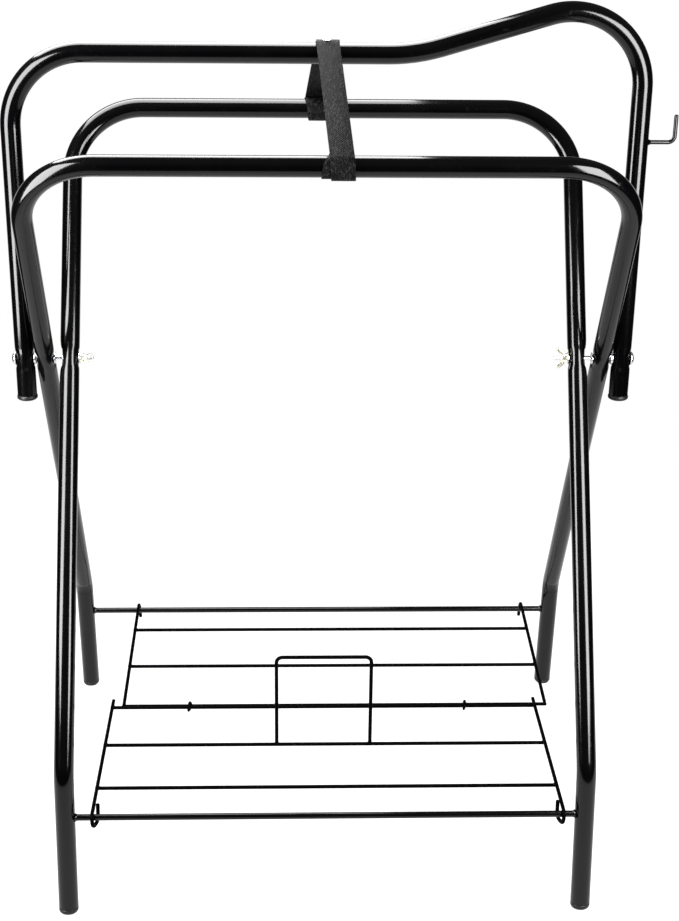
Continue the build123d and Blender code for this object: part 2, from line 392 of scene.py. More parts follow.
def plated(name, colour, bright, rough):
    finish, tree, surface = shader(name)
    surface.inputs["Metallic"].default_value = 1.0
    marks = node(tree, "ShaderNodeGroup", node_tree=cast_marks)
    marks.inputs["Scale"].default_value = 700.0
    marks.inputs["Spread"].default_value = 0.25
    marks.inputs["Base Roughness"].default_value = rough
    wire_up(
        tree,
        (mixed(tree, marks.outputs["Patch"], colour, bright), surface.inputs["Base Color"]),
        (marks.outputs["Roughness"], surface.inputs["Roughness"]),
    )
    bump(tree, surface, marks.outputs["Height"], 0.00003)
    return finish


def webbing(name, yarns_across, yarn_pitch):
    """Flat woven webbing on the strap's UV map.

    Short floats are set in brick order, each yarn of its own random brightness. The colour is also painted
    darker in the grooves between yarns and lighter on their crowns: painted shade.
    """
    finish, tree, surface = shader(name)
    surface.inputs["Specular IOR Level"].default_value = 0.035
    chart = node(tree, "ShaderNodeUVMap", uv_map="strap").outputs["UV"]
    parts = node(tree, "ShaderNodeSeparateXYZ")
    wire_up(tree, (chart, parts.inputs[0]))
    across, along = parts.outputs["X"], parts.outputs["Y"]
    columns = math(tree, "MULTIPLY", across, yarns_across)
    column = math(tree, "FLOOR", columns, 0.0)
    rows = math(tree, "DIVIDE", along, yarn_pitch)
    rows = math(tree, "ADD", rows, math(tree, "MULTIPLY", math(tree, "MODULO", column, 2.0), 0.5))
    cell = node(tree, "ShaderNodeCombineXYZ")
    wire_up(tree, (column, cell.inputs["X"]), (math(tree, "FLOOR", rows, 0.0), cell.inputs["Y"]))
    shade = node(tree, "ShaderNodeTexWhiteNoise", noise_dimensions="2D")
    wire_up(tree, (cell.outputs["Vector"], shade.inputs["Vector"]))
    rib = math(tree, "ABSOLUTE", math(tree, "SINE", math(tree, "MULTIPLY", rows, pi), 0.0), 0.0)
    yarn = math(tree, "ABSOLUTE", math(tree, "SINE", math(tree, "MULTIPLY", columns, pi), 0.0), 0.0)
    height = math(tree, "MULTIPLY", math(tree, "POWER", rib, 0.6), math(tree, "POWER", yarn, 0.5))
    place = node(tree, "ShaderNodeTexCoord").outputs["Object"]
    fuzz = noise(tree, place, 2600.0, 2.0)
    height = math(tree, "ADD", height, math(tree, "MULTIPLY", fuzz, 0.35))
    lift = math(tree, "POWER", shade.outputs["Value"], 3.0)
    # Painted shade: the colour follows the weave's height, dark in the grooves between yarns and light on
    # the crowns; each yarn's random brightness is the webbing's own.
    yarn_tone_and_groove_shade = math(tree, "MULTIPLY", remap(tree, height, 0.35, 1.2), remap(tree, lift, 0.0, 1.0, 0.14, 1.0))
    wire_up(tree, (remap(tree, yarn_tone_and_groove_shade, 0.0, 1.0, 0.55, 0.36), surface.inputs["Roughness"]))
    colour = mixed(tree, yarn_tone_and_groove_shade, (0.0001, 0.0001, 0.0001), (0.02, 0.02, 0.0205))
    wire_up(tree, (colour, surface.inputs["Base Color"]))
    bump(tree, surface, height, 0.00035)
    return finish


gloss_coat = powder_coat("gloss_powder_coat", peel_scale=750.0, rough=0.12, peel_depth=0.00001, index=1.34)
wire_coat = powder_coat("wire_powder_coat", peel_scale=1100.0, rough=0.42, peel_depth=0.00001, index=1.06)
cap_plastic = moulded("cap_plastic", (0.002, 0.002, 0.002), (0.005, 0.005, 0.005), rough=0.4)
zinc = plated("bright_zinc", (0.58, 0.59, 0.61), (0.76, 0.77, 0.79), rough=0.26)
yellow_zinc = plated("yellow_zinc", (0.78, 0.75, 0.58), (0.88, 0.87, 0.75), rough=0.3)
strap_cloth = webbing("black_webbing", yarns_across=18.0, yarn_pitch=0.003)


def finish_piece(piece, finish, body=None, nodes=()):
    """Gives a piece its material and body, and hides the CAD nodes it stands for."""
    piece.data.materials.clear()
    piece.data.materials.append(finish)
    if body:
        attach(piece, body)
    if nodes:
        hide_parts(*nodes)
    return piece


# ---- bent tubes ----
TUBE_SIDES = 48
# Rings round a pressed leg: distance from the pivot, share of the width, share of the outer side.
PINCH_RINGS = (
    (-21, 1.0, 1.0), (-15, 0.995, 0.96), (-11.5, 0.985, 0.91),
    (-9.5, 0.925, 0.87), (-5, 0.909, 0.85), (0, 0.909, 0.84),
)


def knee_point(foot_side):
    return foot_side * KNEE_REACH * sin(LEG_ANGLE), PIVOT_Z - KNEE_REACH * cos(LEG_ANGLE)


def foot_y(z):
    """Distance from the middle plane to a foot's centreline at height z."""
    knee_y, knee_z = knee_point(1)
    return knee_y + (knee_z - z) * tan(FOOT_ANGLE)


def press_flat(piece, half_width, lean, dented):
    """Presses both legs flat across X where the pivot bolt passes.

    Dented legs go deeper on their outer side.
    """
    axis = Vector((0, -sin(lean), cos(lean)))
    rings = list(PINCH_RINGS)
    rings += [(-distance, share, dent) for distance, share, dent in reversed(PINCH_RINGS[:-1])]
    start_edit(piece)
    for distance, _, _ in rings:
        bpy.ops.mesh.select_all(action="SELECT")
        bpy.ops.mesh.bisect(plane_co=pivot + axis * distance * MM, plane_no=axis)
    for side in SIDES:
        for distance, share, dent in rings:
            centre = pivot + axis * distance * MM + Vector((side * half_width * MM, 0, 0))

            def on_ring(place, centre=centre):
                gap = place - centre
                return abs(gap.dot(axis)) < 1e-4 and gap.length < TUBE_R * MM * 1.2

            pick(piece, on_ring)
            wide = 1.0 + (1.0 - share) * 0.35
            resize((share, wide, wide), centre)
            if dented:
                pick(piece, lambda place, centre=centre: on_ring(place) and side * (place.x - centre.x) > 0)
                resize((dent, 1.0, 1.0), centre)
    end_edit()


def frame_pipe(name, route, bends, half_width, lean, dented=False):
    piece = pipe(name, route, bends, TUBE_R, TUBE_SIDES, 3.0, rounded=0.06)
    press_flat(piece, half_width, lean, dented)
    outward(piece)
    return piece


raised_z = RIDGE_Z + (RIDGE_HALF - RAMP_X) * tan(RAMP_ANGLE)
ridge_route = [
    (-RIDGE_HALF, 0, RIDGE_FOOT_Z),
    (-RIDGE_HALF, 0, RIDGE_Z),
    (RAMP_X, 0, RIDGE_Z),
    (RIDGE_HALF, 0, raised_z),
    (RIDGE_HALF, 0, RIDGE_FOOT_Z),
]
ridge = frame_pipe("ridge_bar", ridge_route, [CORNER_R, RAMP_R, CORNER_R], RIDGE_HALF, 0.0)
finish_piece(ridge, gloss_coat, "ridge", ["ridge_tube"])


def leg_route(half_width, foot_side):
    """A leg frame's route: feet on the foot_side, top bar on the other."""
    end_z = FOOT_CAP_T * cos(FOOT_ANGLE)
    knee_y, knee_z = knee_point(foot_side)
    bar_y = -foot_side * BAR_REACH * sin(LEG_ANGLE)
    bar_z = PIVOT_Z + BAR_REACH * cos(LEG_ANGLE)
    left = [
        (-half_width, foot_side * foot_y(end_z), end_z),
        (-half_width, knee_y, knee_z),
        (-half_width, bar_y, bar_z),
    ]
    return left + [(-x, y, z) for x, y, z in reversed(left)]


LEG_BENDS = [KNEE_R, CORNER_R, CORNER_R, KNEE_R]
outer = frame_pipe("outer_legs_tube", leg_route(OUTER_HALF, 1), LEG_BENDS, OUTER_HALF, LEG_ANGLE)
inner = frame_pipe(
    "inner_legs_tube", leg_route(INNER_HALF, -1), LEG_BENDS, INNER_HALF, -LEG_ANGLE, dented=True
)

# Where the wrinkles lie, as shares of half the knee's turn.
KNEE_WRINKLES = (-0.5, 0.0, 0.5)


def crimp_knees(piece, foot_side):
    """Shallow wrinkles on the inside of each knee, where the bender crimps the wall."""
    knee_y, knee_z = knee_point(foot_side)
    half_turn = (LEG_ANGLE - FOOT_ANGLE) / 2
    inward = Vector((0, -foot_side * cos((LEG_ANGLE + FOOT_ANGLE) / 2), -sin((LEG_ANGLE + FOOT_ANGLE) / 2)))
    centre = at(0, knee_y, knee_z) + inward * KNEE_R / cos(half_turn) * MM
    start_edit(piece)
    for share in KNEE_WRINKLES:
        turn = share * half_turn
        spoke_y = inward.y * cos(turn) - inward.z * sin(turn)
        spoke_z = inward.y * sin(turn) + inward.z * cos(turn)
        spoke = Vector((0, spoke_y, spoke_z))
        across = Vector((0, -spoke.z, spoke.y))

        def in_wrinkle(place):
            gap = place - centre
            gap.x = 0
            near = -gap.dot(spoke)
            return abs(gap.dot(across)) < 0.7 * MM and 0 < near < (KNEE_R - 4) * MM

        pick(piece, in_wrinkle)
        resize((1.0, 1.018, 1.018), centre)
    end_edit()


crimp_knees(outer, 1)
crimp_knees(inner, -1)
finish_piece(outer, gloss_coat, "outer_legs", ["outer_leg_tube"])
finish_piece(inner, gloss_coat, "inner_legs", ["inner_leg_tube"])


# ---- turned pieces ----
def turned_piece(name, profile, centre, axis, sides=40):
    """A profile of (distance along the axis, radius) points spun round the axis.

    Ends on the axis are closed.
    """
    axis = Vector(axis).normalized()
    across = axis.orthogonal().normalized()
    points = [centre + axis * along * MM + across * radius * MM for along, radius in profile]
    bpy.ops.object.select_all(action="DESELECT")
    bpy.ops.mesh.primitive_circle_add(vertices=3, radius=MM, location=points[0])
    piece = bpy.context.object
    piece.name = name
    bake_place(piece)
    start_edit(piece)
    bpy.ops.mesh.merge(type="CENTER")
    bpy.ops.transform.translate(value=points[0] - piece_middle(piece))
    for start, end in zip(points, points[1:]):
        grow(end - start)
    bpy.ops.mesh.select_all(action="SELECT")
    bpy.ops.mesh.spin(steps=sides, angle=2 * pi, center=centre, axis=axis)
    bpy.ops.mesh.select_all(action="SELECT")
    bpy.ops.mesh.remove_doubles(threshold=1e-6)
    bpy.ops.mesh.fill_holes(sides=0)
    end_edit()
    outward(piece)
    return piece


def piece_middle(piece):
    """The mean of an edited piece's vertices."""
    piece.update_from_editmode()
    places = [vertex.co for vertex in piece.data.vertices]
    return sum(places, Vector()) / len(places)


RIDGE_CAP = (
    (15.0, 0.0), (15.0, 8.6), (13.5, 9.6), (0.3, 9.6), (0.3, 10.4), (-0.3, 10.7), (-0.7, 11.3), (-1.3, 11.6),
    (-3.4, 11.6), (-4.2, 11.2), (-4.8, 10.4), (-5.0, 9.4), (-5.0, 0.0),
)
ridge_caps = [
    turned_piece("cap", RIDGE_CAP, at(side * RIDGE_HALF, 0, RIDGE_FOOT_Z), UP) for side in SIDES
]
finish_piece(join("ridge_caps", ridge_caps), cap_plastic, "ridge", ["ridge_end_caps"])

FOOT_CAP = (
    (15.0, 0.0), (15.0, 8.6), (13.5, 9.6), (0.0, 9.6), (0.0, 10.7), (-0.3, 11.0), (-1.8, 11.0),
    (-3.2, 10.8), (-4.6, 10.1), (-5.5, 9.2), (-5.9, 8.2), (-6.2, 0.0),
)


def foot_cap(half_width, foot_side, side):
    """A foot with a rounded head, sat level on the floor."""
    end_z = FOOT_CAP_T * cos(FOOT_ANGLE)
    axis = Vector((0, -foot_side * sin(FOOT_ANGLE), cos(FOOT_ANGLE)))
    place = at(side * half_width, foot_side * foot_y(end_z), end_z)
    cap = turned_piece("cap", FOOT_CAP, place, axis)
    start_edit(cap)
    pick(cap, lambda point: point.z < 0.6 * MM)
    resize((1.0, 1.0, 0.0), Vector((0, 0, 0)))
    end_edit()
    return cap


rear_caps = [foot_cap(OUTER_HALF, 1, side) for side in SIDES]
front_caps = [foot_cap(INNER_HALF, -1, side) for side in SIDES]
finish_piece(join("rear_feet", rear_caps), cap_plastic, "outer_legs", ["rear_foot_caps"])
finish_piece(join("front_feet", front_caps), cap_plastic, "inner_legs", ["front_foot_caps"])


# ---- rods, hooks and weld beads ----
def bead(centre, axis, radius, spread):
    """A weld fillet: a low collar round a wire or rod where it meets something."""
    profile = (
        (-0.4 * spread, radius - 0.4), (0.0, radius + 0.85 * spread), (0.5 * spread, radius + 0.42 * spread),
        (1.1 * spread, radius + 0.14 * spread), (1.8 * spread, radius - 0.05),
    )
    return turned_piece("bead", profile, centre, axis, 20)


def rod_with_welds(name, half_width, y, z):
    """A cross rod and the weld collars at its ends."""
    face = half_width - TUBE_R
    reach = face + 2.0
    rod = pipe(name, [(-reach, y, z), (reach, y, z)], [], ROD_R + COAT_T, 24, rounded=0.0)
    beads = [bead(at(side * (face - 0.2), y, z), (-side, 0, 0), ROD_R + COAT_T, 1.6) for side in SIDES]
    return join(name, [rod] + beads)


rear_low, rear_high = (Vector(corner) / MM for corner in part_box("rear_rod"))
front_low, front_high = (Vector(corner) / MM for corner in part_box("front_rod"))
REAR_ROD_Y, REAR_ROD_Z = (rear_low.y + rear_high.y) / 2, (rear_low.z + rear_high.z) / 2
FRONT_ROD_Y, FRONT_ROD_Z = (front_low.y + front_high.y) / 2, (front_low.z + front_high.z) / 2
rear_bar = rod_with_welds("rear_cross_rod", OUTER_HALF, REAR_ROD_Y, REAR_ROD_Z)
front_bar = rod_with_welds("front_cross_rod", INNER_HALF, FRONT_ROD_Y, FRONT_ROD_Z)
finish_piece(rear_bar, gloss_coat, "outer_legs", ["rear_rod"])
finish_piece(front_bar, gloss_coat, "inner_legs", ["front_rod"])

BRIDLE_Z = 819.0
BRIDLE_R = 2.3
BRIDLE_REACH = 379.0
BRIDLE_TIP = 849.0
BRIDLE_BEND = 7.0
bridle_root = RIDGE_HALF + TUBE_R
bridle = pipe(
    "bridle_wire",
    [(bridle_root - 2, 0, BRIDLE_Z), (BRIDLE_REACH, 0, BRIDLE_Z), (BRIDLE_REACH, 0, BRIDLE_TIP)],
    [BRIDLE_BEND], BRIDLE_R, 24, 7.5,
)
bridle_bead = bead(at(bridle_root - 0.3, 0, BRIDLE_Z), (1, 0, 0), BRIDLE_R, 2.0)
bridle = join("bridle_wire", [bridle, bridle_bead])
finish_piece(bridle, gloss_coat, "ridge", ["bridle_hook"])

# ---- pivot hardware ----
FLAT_HALF = 10.0
WASHER_T = 1.2
CLEAR = 0.3
SHAFT_R = 2.5
HEAD = (
    (0.0, 0.0), (0.0, 6.9), (0.25, 7.3), (0.6, 7.4), (1.0, 7.2),
    (1.7, 6.4), (2.5, 5.0), (3.2, 3.0), (3.6, 0.0),
)


def washer_profile(radius, thickness):
    """A washer with a rounded outer edge, as a loop of (along, radius) points."""
    half = thickness / 2
    edge = min(0.35, half * 0.7)
    hole = SHAFT_R + 0.15
    return (
        (-half, hole), (-half, radius - edge), (-half + edge * 0.4, radius - edge * 0.3),
        (0.0, radius), (half - edge * 0.4, radius - edge * 0.3), (half, radius - edge),
        (half, hole), (-half, hole),
    )


def washers(name, inner_x, thickness, radius, node_name):
    """The washers of both sides, their inner faces at inner_x."""
    made = []
    for side in SIDES:
        middle = at(side * (inner_x + thickness / 2), 0, PIVOT_Z)
        made.append(turned_piece("washer", washer_profile(radius, thickness), middle, (side, 0, 0), 36))
    piece = join(name, made)
    return finish_piece(piece, zinc, "ridge", [node_name])


spacer_x = OUTER_HALF + FLAT_HALF + CLEAR
spacer_t = RIDGE_HALF - OUTER_HALF - 2 * FLAT_HALF - 2 * CLEAR
nut_washer_x = INNER_HALF - FLAT_HALF - CLEAR - WASHER_T
washers("washer_under_head", RIDGE_HALF + FLAT_HALF, WASHER_T, 8.2, "head_washers")
washers("washer_between_legs", spacer_x, spacer_t, 7.0, "spacer_washers")
washers("washer_beside_leg", OUTER_HALF - FLAT_HALF - CLEAR - WASHER_T, WASHER_T, 6.6, "leg_washers")
washers("washer_under_nut", nut_washer_x, WASHER_T, 6.6, "nut_washers")

SHAFT_TIP = 262.0
THREAD_TURNS = 9
THREAD_PITCH = 0.8


def bolt(side):
    """A dome head, its shank and a threaded tip."""
    face = at(side * (RIDGE_HALF + FLAT_HALF + WASHER_T), 0, PIVOT_Z)
    head = turned_piece("head", HEAD, face, (side, 0, 0), 48)
    length = RIDGE_HALF + FLAT_HALF + WASHER_T - SHAFT_TIP
    profile = [(0.0, 0.0), (0.0, SHAFT_R)]
    start = length - THREAD_TURNS * THREAD_PITCH - 0.6
    profile.append((start, SHAFT_R))
    for turn in range(THREAD_TURNS):
        root = start + turn * THREAD_PITCH
        profile.append((root + 0.2 * THREAD_PITCH, SHAFT_R - 0.42))
        profile.append((root + 0.6 * THREAD_PITCH, SHAFT_R - 0.02))
    profile += [(length - 0.3, SHAFT_R - 0.45), (length, SHAFT_R - 0.8), (length, 0.0)]
    shank = turned_piece("shank", profile, face, (-side, 0, 0), 24)
    return join("bolt", [head, shank])


finish_piece(join("bolts", [bolt(side) for side in SIDES]), zinc, "ridge", ["pivot_bolts"])

HUB = (
    (0.0, 2.55), (0.0, 5.1), (0.4, 5.4), (2.2, 5.2), (5.4, 4.3),
    (6.6, 3.9), (7.0, 3.5), (7.0, 2.7), (6.8, 2.55), (0.0, 2.55),
)
WING = (
    (2.6, 2.4), (6.6, 2.8), (9.6, 5.6), (12.0, 8.6), (12.4, 10.4),
    (11.6, 12.2), (9.8, 12.8), (7.4, 11.4), (4.2, 7.4), (2.6, 6.6),
)
WING_T = 2.0


def wing(base, axis, spoke):
    """One wing: an outline in the nut's own plane, given thickness and rounded edges."""
    width = axis.cross(spoke)
    corners = [base + spoke * out * MM + axis * along * MM for out, along in WING]
    bpy.ops.object.select_all(action="DESELECT")
    bpy.ops.mesh.primitive_circle_add(vertices=len(corners), radius=MM, fill_type="NGON")
    piece = bpy.context.object
    bake_place(piece)
    for vertex, corner in zip(piece.data.vertices, corners):
        vertex.co = corner - width * (WING_T / 2) * MM
    start_edit(piece)
    grow(width * WING_T * MM)
    bpy.ops.mesh.select_all(action="SELECT")
    bpy.ops.mesh.normals_make_consistent(inside=False)
    end_edit()
    soften = piece.modifiers.new("soften", "BEVEL")
    soften.width = 0.7 * MM
    soften.segments = 3
    soften.limit_method = "ANGLE"
    soften.angle_limit = radians(50)
    bpy.ops.object.modifier_apply(modifier="soften")
    outward(piece)
    return piece


def wing_nut(name, side, spoke, body, node_name):
    axis = Vector((-side, 0, 0))
    base = at(side * nut_washer_x, 0, PIVOT_Z) + axis * 0.1 * MM
    hub = turned_piece("hub", HUB, base, axis, 36)
    spoke = Vector(spoke)
    piece = join(name, [hub, wing(base, axis, spoke), wing(base, axis, -spoke)])
    return finish_piece(piece, yellow_zinc, body, [node_name])


wing_nut("nut_left", -1, (0, 1, 0), "left_nut", "wing_nut_left")
wing_nut("nut_right", 1, (0, 0, 1), "right_nut", "wing_nut_right")

# ---- wire shelf ----
WELD_BITE = 0.1
STACK = 2 * WIRE_R - WELD_BITE
SHELF_HALF = 262.0
FRONT_X = 3.0
REAR_X = 16.7
SIDE_WIRE_TAIL = 12.0
HOOK_WRAP = 7.5
REAR_HOOK_WRAP = 9.0
HOOK_BEND = 6.5
HOOK_OFFSET = 5.2
REAR_HOOK_DROP = 21.0
CROSS_REACH = SHELF_HALF + 3.0
FRONT_WIRE_YS = (-183.3, -88.5)
REAR_WIRE_YS = (96.4, 184.9)
front_axis = Vector(joints["clip_turn"]["pos_m"]) / MM
rear_axis = Vector(joints["rear_shelf_drop"]["pos_m"]) / MM
front_hook_z = FRONT_ROD_Z + ROD_R + WIRE_R + CLEAR
rear_hook_z = REAR_ROD_Z + ROD_R + WIRE_R + CLEAR


def front_z(y):
    """Height of the front half's side wires."""
    slope = (front_hook_z - front_axis.z - STACK) / (FRONT_ROD_Y - front_axis.y)
    return front_axis.z + STACK + slope * (y - front_axis.y)


def rear_z(y):
    """Height of the rear half's side wires."""
    slope = (rear_hook_z - rear_axis.z - STACK) / (REAR_ROD_Y - rear_axis.y)
    return rear_axis.z + STACK + slope * (y - rear_axis.y)


def shelf_wire(name, route, bends, node_name, body, welds=()):
    """A shelf wire with small weld beads, in the wire's own finish."""
    piece = pipe(name, route, bends, WIRE_R + COAT_T, 16, 10.0)
    beads = [weld_spot(place) for place in welds]
    piece = join(name, [piece] + beads)
    return finish_piece(piece, wire_coat, body, [node_name])


def weld_spot(place):
    """A small squashed bead where two wires cross."""
    profile = ((-1.6, 0.0), (-1.4, 1.5), (-0.6, 2.5), (0.0, 2.75), (0.6, 2.5), (1.4, 1.5), (1.6, 0.0))
    return turned_piece("spot", profile, at(*place), UP, 14)


for side, word in ((-1, "left"), (1, "right")):
    x = FRONT_X + side * SHELF_HALF
    inner_x = x - side * HOOK_OFFSET
    tail_y = front_axis.y + SIDE_WIRE_TAIL
    nose_y = FRONT_ROD_Y - HOOK_WRAP
    back_y = FRONT_ROD_Y + HOOK_WRAP
    low_z = front_hook_z - 2 * HOOK_WRAP
    curl = [
        (x, tail_y, front_z(tail_y)),
        (x, nose_y, front_z(nose_y)),
        (x - side * 0.8, nose_y, low_z),
        (inner_x, back_y, low_z),
        (inner_x, back_y + 3.0, front_hook_z + 5.0),
    ]
    crossings = [(x, y, front_z(y) - STACK / 2) for y in FRONT_WIRE_YS + (front_axis.y,)]
    cad_node = f"front_side_wire_{word}"
    shelf_wire(f"front_side_{word}", curl, [HOOK_BEND] * 3, cad_node, "front_shelf", crossings)
    x = REAR_X + side * SHELF_HALF
    end_y = REAR_ROD_Y + REAR_HOOK_WRAP
    drop = [
        (x, rear_axis.y - WIRE_R, rear_z(rear_axis.y - WIRE_R)),
        (x, end_y, rear_z(end_y)),
        (x - side * 1.5, end_y, rear_hook_z - REAR_HOOK_DROP),
    ]
    crossings = [(x, y, rear_z(y) - STACK / 2) for y in REAR_WIRE_YS]
    cad_node = f"rear_side_wire_{word}"
    shelf_wire(f"rear_side_{word}", drop, [HOOK_BEND], cad_node, "rear_shelf", crossings)


def cross_wires(name, centre_x, places, node_name, body):
    """Straight wires across one half."""
    wires = [
        pipe(name, [(centre_x - CROSS_REACH, y, z), (centre_x + CROSS_REACH, y, z)], [], WIRE_R + COAT_T, 16)
        for y, z in places
    ]
    return finish_piece(join(name, wires), wire_coat, body, [node_name])


front_places = [(y, front_z(y) - STACK) for y in FRONT_WIRE_YS]
rear_places = [(y, rear_z(y) - STACK) for y in REAR_WIRE_YS]
cross_wires("front_wires", FRONT_X, front_places, "front_cross_wires", "front_shelf")
cross_wires("rear_wires", REAR_X, rear_places, "rear_cross_wires", "rear_shelf")
cross_wires("front_middle_wire", FRONT_X, [tuple(front_axis.yz)], "front_centre_wire", "front_shelf")
cross_wires("rear_middle_wire", REAR_X, [tuple(rear_axis.yz)], "rear_centre_wire", "rear_shelf")

LOOP_HALF = 55.6
LOOP_TOP = 231.0
LOOP_BEND = 7.0
loop_y = FRONT_WIRE_YS[1]
loop_foot = front_z(loop_y) - STACK + WIRE_R - 0.4
loop_route = [(-LOOP_HALF, loop_y, loop_foot), (-LOOP_HALF, loop_y, LOOP_TOP)]
loop_route += [(-x, y, z) for x, y, z in reversed(loop_route)]
loop = pipe("loop", loop_route, [LOOP_BEND] * 2, WIRE_R + COAT_T, 18, 7.5)
loop_beads = [bead(at(side * LOOP_HALF, loop_y, loop_foot + 0.4), UP, WIRE_R, 1.1) for side in SIDES]
finish_piece(join("lifting_loop", [loop] + loop_beads), wire_coat, "front_shelf", ["lift_loop"])

CLIP_WIRE_R = 1.5
CLIP_XS = (-164.0, 178.5)


def ring_clip(x):
    """An oval ring closed round both middle wires, its two ends meeting on top."""
    reach = WIRE_R + CLEAR + CLIP_WIRE_R
    middle_y = (front_axis.y + rear_axis.y) / 2
    middle_z = (front_axis.z + rear_axis.z) / 2
    half = (rear_axis.y - front_axis.y) / 2 + reach
    low, high = middle_z - reach, middle_z + reach
    route = [
        (x + 1.0, middle_y - 0.4, high),
        (x - 0.6, middle_y - half, high),
        (x - 2.0, middle_y - half, low),
        (x + 2.0, middle_y + half, low),
        (x + 0.6, middle_y + half, high),
        (x - 1.0, middle_y + 0.4, high),
    ]
    return pipe("clip", route, [reach * 0.93] * 4, CLIP_WIRE_R, 14, 12.0)


clips = join("clip_rings", [ring_clip(x) for x in CLIP_XS])
finish_piece(clips, wire_coat, "shelf_clips", ["hinge_clips"])

# ---- strap ----
STRAP_WIDTH = 25.0
STRAP_T = 1.6
SECTION_SIDES = 16
INNER_LAYER = TUBE_R + 0.3 + STRAP_T / 2
OUTER_LAYER = INNER_LAYER + STRAP_T + 0.1
BAR_Y = BAR_REACH * sin(LEG_ANGLE)
BAR_Z = PIVOT_Z + BAR_REACH * cos(LEG_ANGLE)
SPAN = hypot(BAR_Y, RIDGE_Z - BAR_Z)
LEAN = degrees(atan2(RIDGE_Z - BAR_Z, BAR_Y))
RUN_PIECES = 14


def round_arm(side, angle, reach):
    """Where a band's middle is, from the axis it goes round.

    The angle is from straight up to its own side.
    """
    return Vector((0, side * sin(radians(angle)), cos(radians(angle)))) * reach * MM


def turn_section(side, degrees_on, axis_place, shift):
    """Extrudes the band's section, turns it on round an axis along X and moves it."""
    bpy.ops.mesh.extrude_region_move(TRANSFORM_OT_translate={"value": (0, 0, 0)})
    bpy.ops.transform.rotate(value=side * radians(degrees_on), orient_axis="X", center_override=axis_place)
    bpy.ops.transform.translate(value=shift)


def strap(name, side, ridge_x, layer, start, wrap):
    """A band from the top of the ridge to one bar and round it.

    The wrap is (degrees past the start of the bar, reach from its axis, x) rows.
    """
    reach_out = wrap[0][1]
    leave = LEAN - degrees(asin((reach_out - layer) / SPAN))
    ridge_place = at(ridge_x, 0, RIDGE_Z)
    bpy.ops.object.select_all(action="DESELECT")
    first = ridge_place + round_arm(side, start, layer)
    bpy.ops.mesh.primitive_circle_add(vertices=SECTION_SIDES, radius=STRAP_T / 2 * MM, location=first)
    piece = bpy.context.object
    piece.name = name
    bake_place(piece)
    start_edit(piece)
    upright = -radians(90) + side * radians(start)
    bpy.ops.transform.rotate(value=upright, orient_axis="X", center_override=first)
    for hand in SIDES:
        pick(piece, lambda place, hand=hand: hand * (place.x - first.x) > 1e-6)
        bpy.ops.transform.translate(value=(hand * (STRAP_WIDTH - STRAP_T) / 2 * MM, 0, 0))
    bpy.ops.mesh.select_all(action="SELECT")
    along = [0.0]
    steps = ceil((leave - start) / 8.0)
    for _ in range(steps):
        turn_section(side, (leave - start) / steps, ridge_place, (0, 0, 0))
        along.append(along[-1] + radians((leave - start) / steps) * layer)
    bar_place = at(wrap[0][2], side * BAR_Y, BAR_Z)
    run = bar_place + round_arm(side, leave, reach_out) - ridge_place - round_arm(side, leave, layer)
    for _ in range(RUN_PIECES):
        grow(run / RUN_PIECES)
        along.append(along[-1] + run.length / MM / RUN_PIECES)
    turned = leave
    for (angle, reach, x), (next_angle, next_reach, next_x) in zip(wrap, wrap[1:]):
        steps = ceil((next_angle - angle) / 8.0)
        degrees_on = (next_angle - angle) / steps
        for _ in range(steps):
            turned += degrees_on
            shift = round_arm(side, turned, (next_reach - reach) / steps)
            shift.x = (next_x - x) / steps * MM
            turn_section(side, degrees_on, bar_place, shift)
            along.append(along[-1] + radians(degrees_on) * reach)
    bpy.ops.mesh.select_all(action="SELECT")
    bpy.ops.mesh.fill_holes(sides=0)
    bpy.ops.mesh.normals_make_consistent(inside=False)
    end_edit()
    chart(piece, along)
    smooth(piece, 50)
    return piece


def chart(piece, along):
    """A UV map: share of the width across, metres along. The sections lie in order in the mesh."""
    places = [vertex.co for vertex in piece.data.vertices]
    middles = []
    for ring in range(len(along)):
        section = places[ring * SECTION_SIDES:(ring + 1) * SECTION_SIDES]
        middles.append(sum(place.x for place in section) / SECTION_SIDES)
    sheet_map = piece.data.uv_layers.new(name="strap")
    for corner, spot in zip(piece.data.loops, sheet_map.data):
        ring = corner.vertex_index // SECTION_SIDES
        offset = places[corner.vertex_index].x - middles[ring]
        spot.uv = (offset / (STRAP_WIDTH * MM) + 0.5, along[ring] * MM)


front_wrap = (
    (0, OUTER_LAYER, 12.3), (120, OUTER_LAYER, 13.8), (160, INNER_LAYER + 1.2, 13.9),
    (200, INNER_LAYER, 13.6), (345, INNER_LAYER, 11.0), (395, INNER_LAYER, 5.6), (480, INNER_LAYER, 3.9),
)
rear_wrap = (
    (0, OUTER_LAYER, -9.0), (100, OUTER_LAYER, -6.5), (150, INNER_LAYER + 1.3, -5.0),
    (200, INNER_LAYER, -5.5), (330, INNER_LAYER, -9.5), (450, INNER_LAYER, -11.0),
)
front_strap = strap("front_strap", -1, 0.6, OUTER_LAYER, -38.0, front_wrap)
rear_strap = strap("rear_strap", 1, 0.0, INNER_LAYER, -30.0, rear_wrap)
STRAP_ENDS = (
    (front_strap, -1, "outer_legs", "strap_front"),
    (rear_strap, 1, "inner_legs", "strap_rear"),
)
for piece, side, body, cad_node in STRAP_ENDS:
    finish_piece(piece, strap_cloth, None, [cad_node])
    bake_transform(piece)

RIVET = (
    (-3.0, 0.0), (-3.0, 2.0), (0.0, 2.0), (0.05, 4.7), (0.35, 5.0),
    (0.6, 4.7), (0.9, 3.6), (1.5, 2.7), (2.0, 1.5), (2.15, 0.0),
)
rivet_top = RIDGE_Z + OUTER_LAYER + STRAP_T / 2 - 0.15
rivet = turned_piece("rivet", RIVET, at(0, 0, rivet_top), UP, 32)
finish_piece(rivet, zinc, "ridge", ["strap_rivet"])

